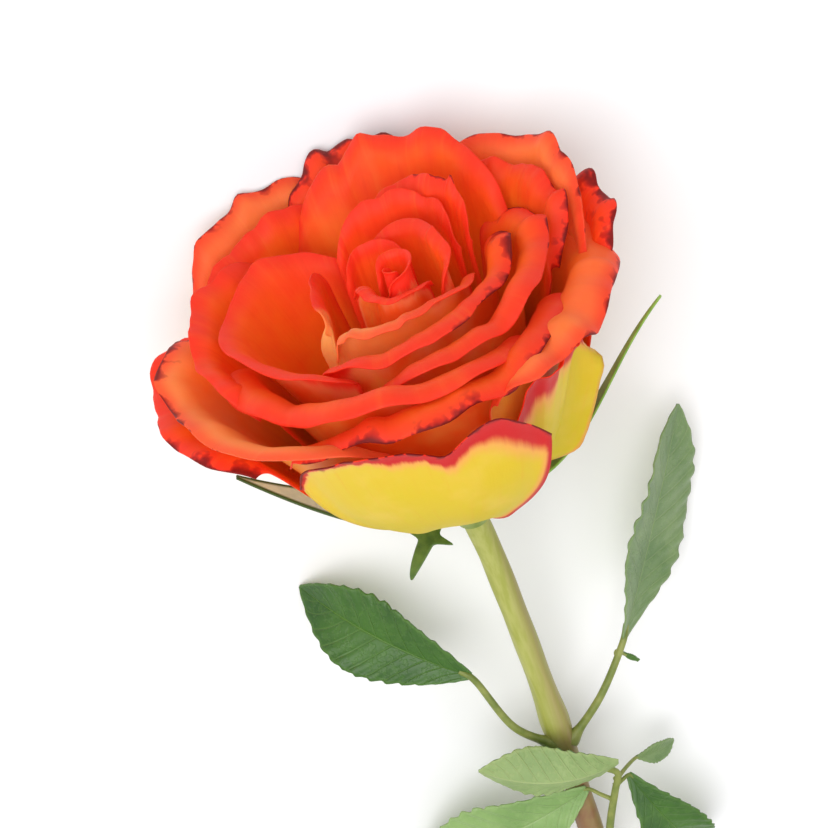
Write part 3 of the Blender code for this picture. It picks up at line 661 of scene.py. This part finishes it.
def stem_material():
    """Olive green with long streaks, turning reddish brown down the stem."""
    nodes = Nodes("stem_skin", 0.42, 0.45)
    spot = nodes.new("ShaderNodeSeparateXYZ")
    nodes.put(spot.inputs[0], nodes.new("ShaderNodeTexCoord").outputs["Object"])
    stretches = zip(spot.outputs, (14.0, 700.0, 700.0))
    stretched = [nodes.math("MULTIPLY", output, scale) for output, scale in stretches]
    streaks = nodes.noise(1.0, 4.0, nodes.combine(*stretched))
    base = nodes.mix(nodes.span(streaks, 0.35, 0.65), (158, 162, 72), (174, 176, 96))
    right_side = nodes.span(spot.outputs[1], -0.002, -0.0055)
    brown = nodes.math("MULTIPLY", right_side, nodes.span(streaks, 0.3, 0.6, 0.2, 0.6))
    base = nodes.mix(brown, base, (146, 122, 78))
    red = nodes.span(spot.outputs[0], 0.019, 0.006, 0.0, 0.85)
    patches = nodes.math("MULTIPLY", red, nodes.span(nodes.noise(120.0, 3.0), 0.25, 0.65, 0.35, 1.0))
    nodes.colour(nodes.mix(patches, base, (130, 80, 66)))
    grain = nodes.math("MULTIPLY", nodes.noise(900.0, 2.0), 0.4)
    nodes.bump(nodes.math("ADD", streaks, grain), 0.3, 0.0004)
    nodes.soft(0.05, 0.001, STEM_SOAK)
    return nodes.material


def plain_green_material(name, dark, light, roughness, margin=None):
    """Mottled between two colours, with a margin of another colour if one is given."""
    nodes = Nodes(name, roughness, 0.45)
    base = nodes.mix(nodes.span(nodes.noise(260.0, 4.0), 0.3, 0.7), dark, light)
    if margin:
        base = nodes.mix(nodes.span(nodes.fact("rim"), 0.4, 1.2, 1.0, 0.0), base, margin)
    nodes.colour(base)
    nodes.bump(nodes.noise(1300.0, 3.0), 0.3, 0.0003)
    nodes.soft(0.05, 0.001, GREEN_SOAK)
    return nodes.material


# ---------------------------------------------------------------- pieces

def make_petals():
    face, back = petal_face_material(), petal_back_material()
    settled = settled_petals(PETAL_ACROSS, PETAL_ALONG)
    for number, petal in enumerate(PETALS):
        finish = FINISH[petal.name]
        seed = 40 + 7 * number
        grid = refine(settled[petal.name], FINE_ACROSS, FINE_ALONG)
        sheet, share, rim = roll_margin(grid, finish, seed)
        sheet = ruffled(sheet, share, finish, seed)
        columns = sheet.shape[1]
        t = np.linspace(-1, 1, columns)
        side = (1 - np.abs(t)) * along_length(sheet.transpose(1, 0, 2)).T.max(axis=1, keepdims=True) / 2
        lip = np.minimum(rim, 4 * side + 3)
        rim = np.minimum(rim, side + 0.02 + 12 * (1 - share) ** 2)
        sheet = bloom_to_world(sheet)
        sheet[..., 2] = np.maximum(sheet[..., 2], PETAL_SHEET / 2 + 0.02)
        uneven = np.clip(1 + 0.9 * wavy(seed + 2, columns, (0.4, 0.23, 0.13)), 0, 2)
        burn = three_way(finish.burn, t) * uneven
        blush = three_way(finish.blush, t) * (1 + 0.3 * wavy(seed + 9, columns, (0.8, 0.4)))
        facts = {
            "share": share,
            "rim": rim,
            "lip": lip,
            "across": np.broadcast_to(t, share.shape),
            "burn": np.broadcast_to(np.maximum(burn, 0), share.shape),
            "blush": np.broadcast_to(blush, share.shape),
            "warm": np.full(share.shape, finish.warm),
            "pale": np.broadcast_to(three_way(finish.pale, t), share.shape),
            "seed": np.full(share.shape, float(number)),
        }
        thickness = PETAL_SHEET * (0.75 + 0.25 * np.clip(rim / 4, 0, 1))
        mesh = shell_mesh(petal.name + "_fine", sheet, thickness, facts)
        mesh.materials.append(face)
        mesh.materials.append(back)
        place(mesh, petal.name + "_fine", "petal", petal.name)


def sepal_sheet(sepal, across, along):
    """A tapering blade that leaves the cup, bends at its knee and ends at the sepal's reach and drop."""
    s, t = np.meshgrid(np.linspace(0, 1, along + 1), np.linspace(-1, 1, across + 1), indexing="ij")
    foot = np.array([RECEPTACLE_RADIUS + 0.9, -2.6])
    rise = max(sepal.drop - 20, 0)
    knee = np.array([RECEPTACLE_RADIUS + 13.0 + 0.35 * rise, -6.0 + 0.2 * min(sepal.drop, 0) - 0.15 * rise])
    tip = np.array([sepal.reach, sepal.drop])
    share = s[..., None]
    line = (1 - share) ** 2 * foot + 2 * share * (1 - share) * knee + share ** 2 * tip
    line[..., 0] += 0.35 * rise * s ** 8
    half = sepal.width / 2 * (1 - 0.94 * s ** 1.2) * (1 - 0.35 * (1 - s) ** 6)
    # Only the front sepal has side lobes
    lobes = 4.5 * np.exp(-((s - 0.24) / 0.035) ** 2) if sepal.name == "sepal_front" else 0 * s
    centre = polar(sepal.azimuth + 0 * s, line[..., 0], line[..., 1])
    turn = math.radians(sepal.azimuth)
    sideways = np.array([-math.sin(turn), math.cos(turn), 0])
    reach = (half + lobes) * t + 4 * sepal.bow * s * (1 - s)
    return centre + sideways * reach[..., None], s, t, half * (1 - np.abs(t))


def make_sepals(top, painted_lit, under):
    for sepal in SEPALS:
        sheet, share, across, rim = sepal_sheet(sepal, 10, 70)
        facts = {"share": share, "across": across, "rim": rim}
        thickness = np.full(share.shape, LEAF_SHEET)
        mesh = shell_mesh(sepal.name + "_fine", bloom_to_world(sheet), thickness, facts)
        # The right sepal gets a lighter copy of the outside green: painted light on a sepal that lies in
        # shade
        outside = painted_lit if sepal.name == "sepal_right" else top
        mesh.materials.append(under if sepal.name == "sepal_left" else outside)
        mesh.materials.append(outside)
        place(mesh, sepal.name + "_fine", "sepal", sepal.name)


def leaf_sheet(leaf, across, along):
    """A serrated blade along its midrib, folded a little about it and arched."""
    s, t = np.meshgrid(np.linspace(0, 1, along + 1), np.linspace(-1, 1, across + 1), indexing="ij")
    foot, tip = np.array(leaf.foot, float), np.array(leaf.tip, float)
    heading = (tip - foot) / np.linalg.norm(tip - foot)
    level = np.cross([0, 0, 1], heading)
    level /= np.linalg.norm(level)
    up = np.cross(heading, level)
    turn = math.radians(leaf.turn)
    sideways = level * math.cos(turn) + up * math.sin(turn)
    above = np.cross(heading, sideways)
    half = leaf.width / 2 * np.sin(np.pi * np.clip(0.03 + 0.97 * s, 0, 1) ** 1.2) ** 0.8
    half = np.maximum(half, 0.4)
    saw = (s * LEAF_TEETH) % 1
    tooth = np.where(saw < 0.75, saw / 0.75, (1 - saw) / 0.25)
    fold = math.radians(leaf.fold)
    reach = half * (1 - 0.07 * (1 - tooth) * np.abs(t) ** 3) * t * math.cos(fold)
    rise = half * np.abs(t) * math.sin(fold) + leaf.arch * 4 * s * (1 - s)
    pleat = 0.25 * np.sin(2 * np.pi * LEAF_VEINS * (s - VEIN_SWEEP * np.abs(t))) * np.abs(t)
    wave = 0.8 * np.sin(2 * np.pi * (1.6 * s + 0.2 * np.sign(t))) * t * t
    rise += (pleat + wave) * half / 10
    blade = foot + (tip - foot) * s[..., None] + sideways * reach[..., None] + above * rise[..., None]
    blade[..., 2] = np.maximum(blade[..., 2], LEAF_SHEET / 2 + 0.02)
    return blade + CENTRE, s, t, half * (1 - np.abs(t))


def make_leaves(top, under, others):
    """Each blade has the top material on its upper side, or one of the others if it is named there."""
    for leaf in LEAVES:
        sheet, share, across, rim = leaf_sheet(leaf, LEAF_ACROSS, LEAF_ALONG)
        facts = {"share": share, "across": across, "rim": rim}
        mesh = shell_mesh(leaf.name + "_fine", sheet, np.full(share.shape, LEAF_SHEET), facts)
        middle = outward_normals(sheet)[LEAF_ALONG // 2, LEAF_ACROSS // 2]
        upwards = middle[2] > 0
        # The tip leaflet has turned over, so its underside is on top
        turned_over = leaf.name == "lower_leaflet_tip"
        upper = others.get(leaf.name, top)
        pair = (under, upper) if upwards != turned_over else (upper, under)
        for material in pair:
            mesh.materials.append(material)
        place(mesh, leaf.name + "_fine", "leaf", leaf.name)


def smooth_line(points, steps):
    """A line through the points, with so many steps from each point to the next."""
    return smooth_between(np.array(points, float), np.linspace(0, 1, steps * (len(points) - 1) + 1))


def tube_mesh(name, line, radii):
    """A closed tube with flat ends; radii has a row for each point of the line and a column for each side."""
    sides = radii.shape[1]
    tangent = np.gradient(line, axis=0)
    tangent /= np.linalg.norm(tangent, axis=1, keepdims=True)
    level = np.cross(tangent, [0, 0, 1])
    level /= np.linalg.norm(level, axis=1, keepdims=True)
    upward = np.cross(level, tangent)
    turn = np.linspace(0, 2 * np.pi, sides, endpoint=False)
    ring = level[:, None] * np.cos(turn)[None, :, None] + upward[:, None] * np.sin(turn)[None, :, None]
    points = (line[:, None] + ring * radii[..., None]).reshape(-1, 3)
    faces = []
    for i in range(len(line) - 1):
        low, high = i * sides, (i + 1) * sides
        faces += [(low + j, high + j, high + (j + 1) % sides, low + (j + 1) % sides) for j in range(sides)]
    faces.append(tuple(range(sides)))
    faces.append(tuple((len(line) - 1) * sides + j for j in reversed(range(sides))))
    mesh = bpy.data.meshes.new(name)
    mesh.from_pydata((points * MM).tolist(), [], faces)
    mesh.shade_smooth()
    mesh.set_sharp_from_angle(angle=math.radians(50))
    return mesh


def make_stem(skin):
    end = bloom_to_world(np.array([0.0, 0.0, 1.5 - RECEPTACLE_LENGTH])) - CENTRE
    neck = bloom_to_world(np.array([0.0, 1.5, -26.0])) - CENTRE
    cut = (-STEM_LENGTH, 0, STEM_RADIUS)
    line = smooth_line([end, neck, (-64, -3, 13.5), (-120, -3, 7.8), (-180, -1.5, 4.4), cut], 40)
    turn = np.linspace(0, 2 * np.pi, 28, endpoint=False)
    x = line[:, :1]
    swellings = sum(np.exp(-((x - spot) / 5.0) ** 2) for spot in (-64, -130, -196))
    radii = np.minimum(STEM_RADIUS + 0.6 * swellings, line[:, 2:])
    ridges = 0.06 * np.sin(5 * turn + 0.05 * x) + 0.05 * np.sin(0.4 * x + 2 * turn)
    mesh = tube_mesh("stem_fine", line + CENTRE, radii + ridges - 0.08)
    mesh.materials.append(skin)
    place(mesh, "stem_fine", "stem", "stem")


def make_stalks(skin):
    """Each stalk tapers a little and spreads at its foot."""
    for number, stalk in enumerate(STALKS):
        name = f"{stalk.node}_fine_{number}"
        line = smooth_line(stalk.route, 14) + CENTRE
        share = np.linspace(0, 1, len(line))
        radii = stalk.radius * (1 - 0.3 * share + 0.9 * np.exp(-(share / 0.07) ** 2))
        mesh = tube_mesh(name, line, np.repeat(radii[:, None], 16, axis=1))
        mesh.materials.append(skin)
        place(mesh, name, "stalk" if stalk.node.endswith("stalk") else "leaf", stalk.node)


def make_receptacle(skin):
    wide, narrow = RECEPTACLE_RADIUS, STEM_RADIUS
    profile = [(-1.6, 0.4), (-1.8, wide - 1.6), (-2.1, wide - 0.5), (-2.8, wide), (-4.0, wide),
               (-5.4, wide - 0.5), (-7.0, wide - 1.5), (-8.6, wide - 2.6), (-10.2, narrow + 0.8),
               (-1.0 - RECEPTACLE_LENGTH, narrow + 0.5)]
    heights, radii = (np.array(column) for column in zip(*profile))
    fine = np.linspace(0, 1, 50)
    heights, radii = smooth_between(heights, fine), smooth_between(radii, fine)
    line = bloom_to_world(np.stack([0 * heights, 0 * heights, heights], axis=-1))
    mesh = tube_mesh("receptacle_fine", line, np.repeat(radii[:, None], 40, axis=1))
    mesh.materials.append(skin)
    place(mesh, "receptacle_fine", "receptacle", "receptacle")


# ---------------------------------------------------------------- studio

def make_camera():
    """Looks down on the rose along the line of sight that shows the bloom from above its front."""
    steep, roll = math.radians(74), math.radians(18.6)
    distance, width = 0.520, 0.1689
    shift_left, shift_up = 0.0094, 0.0131
    back = Vector((math.cos(steep), 0, math.sin(steep)))
    along = Vector((math.sin(steep), 0, -math.cos(steep)))
    side = Vector((0, -1, 0))
    up = along * math.cos(roll) + side * math.sin(roll)
    right = side * math.cos(roll) - along * math.sin(roll)
    foot = Vector(bloom_to_world(np.zeros(3)) * MM)
    camera = bpy.data.cameras.new("camera")
    camera.sensor_width = 36
    camera.lens = 36 * distance / width
    camera.clip_start = 0.01
    thing = bpy.data.objects.new("camera", camera)
    bpy.context.scene.collection.objects.link(thing)
    thing.matrix_world = Matrix((right, up, back)).transposed().to_4x4()
    thing.location = foot - right * shift_left + up * shift_up + back * distance
    bpy.context.scene.camera = thing


def make_light(name, place_at, aim, size, power):
    light = bpy.data.lights.new(name, "AREA")
    light.shape = "DISK"
    light.size = size
    light.energy = power
    thing = bpy.data.objects.new(name, light)
    bpy.context.scene.collection.objects.link(thing)
    thing.location = place_at
    thing.rotation_euler = (Vector(place_at) - Vector(aim)).to_track_quat("Z", "Y").to_euler()


def make_studio():
    world = bpy.data.worlds.new("studio")
    world.use_nodes = True
    world.node_tree.nodes["Background"].inputs["Color"].default_value = (1, 1, 1, 1)
    world.node_tree.nodes["Background"].inputs["Strength"].default_value = 0.7
    bpy.context.scene.world = world
    bpy.context.scene.view_settings.view_transform = "Standard"
    make_light("window", (0.15, 0.3, 1.0), (0.05, 0, 0), 0.9, 6.5)
    make_light("fill", (-0.5, -0.5, 0.9), (0.0, 0, 0), 0.8, 1.5)
    floor = bpy.data.meshes.new("table")
    half = 1.5
    corners = [(-half, -half, 0), (half, -half, 0), (half, half, 0), (-half, half, 0)]
    floor.from_pydata(corners, [], [(0, 1, 2, 3)])
    nodes = Nodes("table_paper", 0.7, 0.2)
    nodes.colour(nodes.mix(nodes.noise(30.0, 3.0), (247, 247, 249), (250, 250, 252)))
    nodes.bump(nodes.noise(900.0, 3.0), 0.05, 0.0002)
    floor.materials.append(nodes.material)
    thing = bpy.data.objects.new("table", floor)
    bpy.context.scene.collection.objects.link(thing)


def main():
    make_camera()
    make_studio()
    leaf_top = leaf_material("leaf_top", (40, 82, 18), (64, 108, 28), (94, 134, 50), 0.4, -1.0)
    leaf_pale = leaf_material("leaf_pale", (92, 122, 70), (120, 144, 92), (140, 162, 108), 0.4, -1.0)
    # A lighter copy of the blade green with painted light, for the lower left leaflet, which lies in bright
    # light
    leaf_painted_lit = leaf_material("leaf_painted_lit", (112, 148, 78), (138, 170, 100), (156, 184, 118), 0.4, -1.0)
    leaf_under = leaf_material("leaf_under", (126, 152, 90), (150, 172, 108), (176, 190, 128), 0.55, 1.0)
    sepal_top = plain_green_material("sepal_outside", (60, 92, 28), (98, 128, 50), 0.42)
    # A lighter copy of the sepal green with painted light, for the right sepal, which lies in shade
    painted_lit_sepal = plain_green_material("sepal_painted_light", (104, 150, 48), (142, 178, 76), 0.42)
    # Inside of the left sepal: whitish, painted bluer to cancel the warm light that the petals throw on it
    sepal_under = plain_green_material("sepal_inside", (206, 222, 236), (226, 238, 248), 0.6, (60, 84, 34))
    make_petals()
    make_sepals(sepal_top, painted_lit_sepal, sepal_under)
    make_leaves(leaf_top, leaf_under, {"leaf_right_blade": leaf_pale, "lower_leaflet_small": leaf_pale,
                                       "lower_leaflet_left": leaf_painted_lit})
    stem_skin = stem_material()
    make_stem(stem_skin)
    make_stalks(plain_green_material("stalk_skin", (104, 120, 48), (142, 148, 76), 0.45))
    make_receptacle(plain_green_material("receptacle_skin", (112, 132, 52), (140, 156, 74), 0.45))


main()
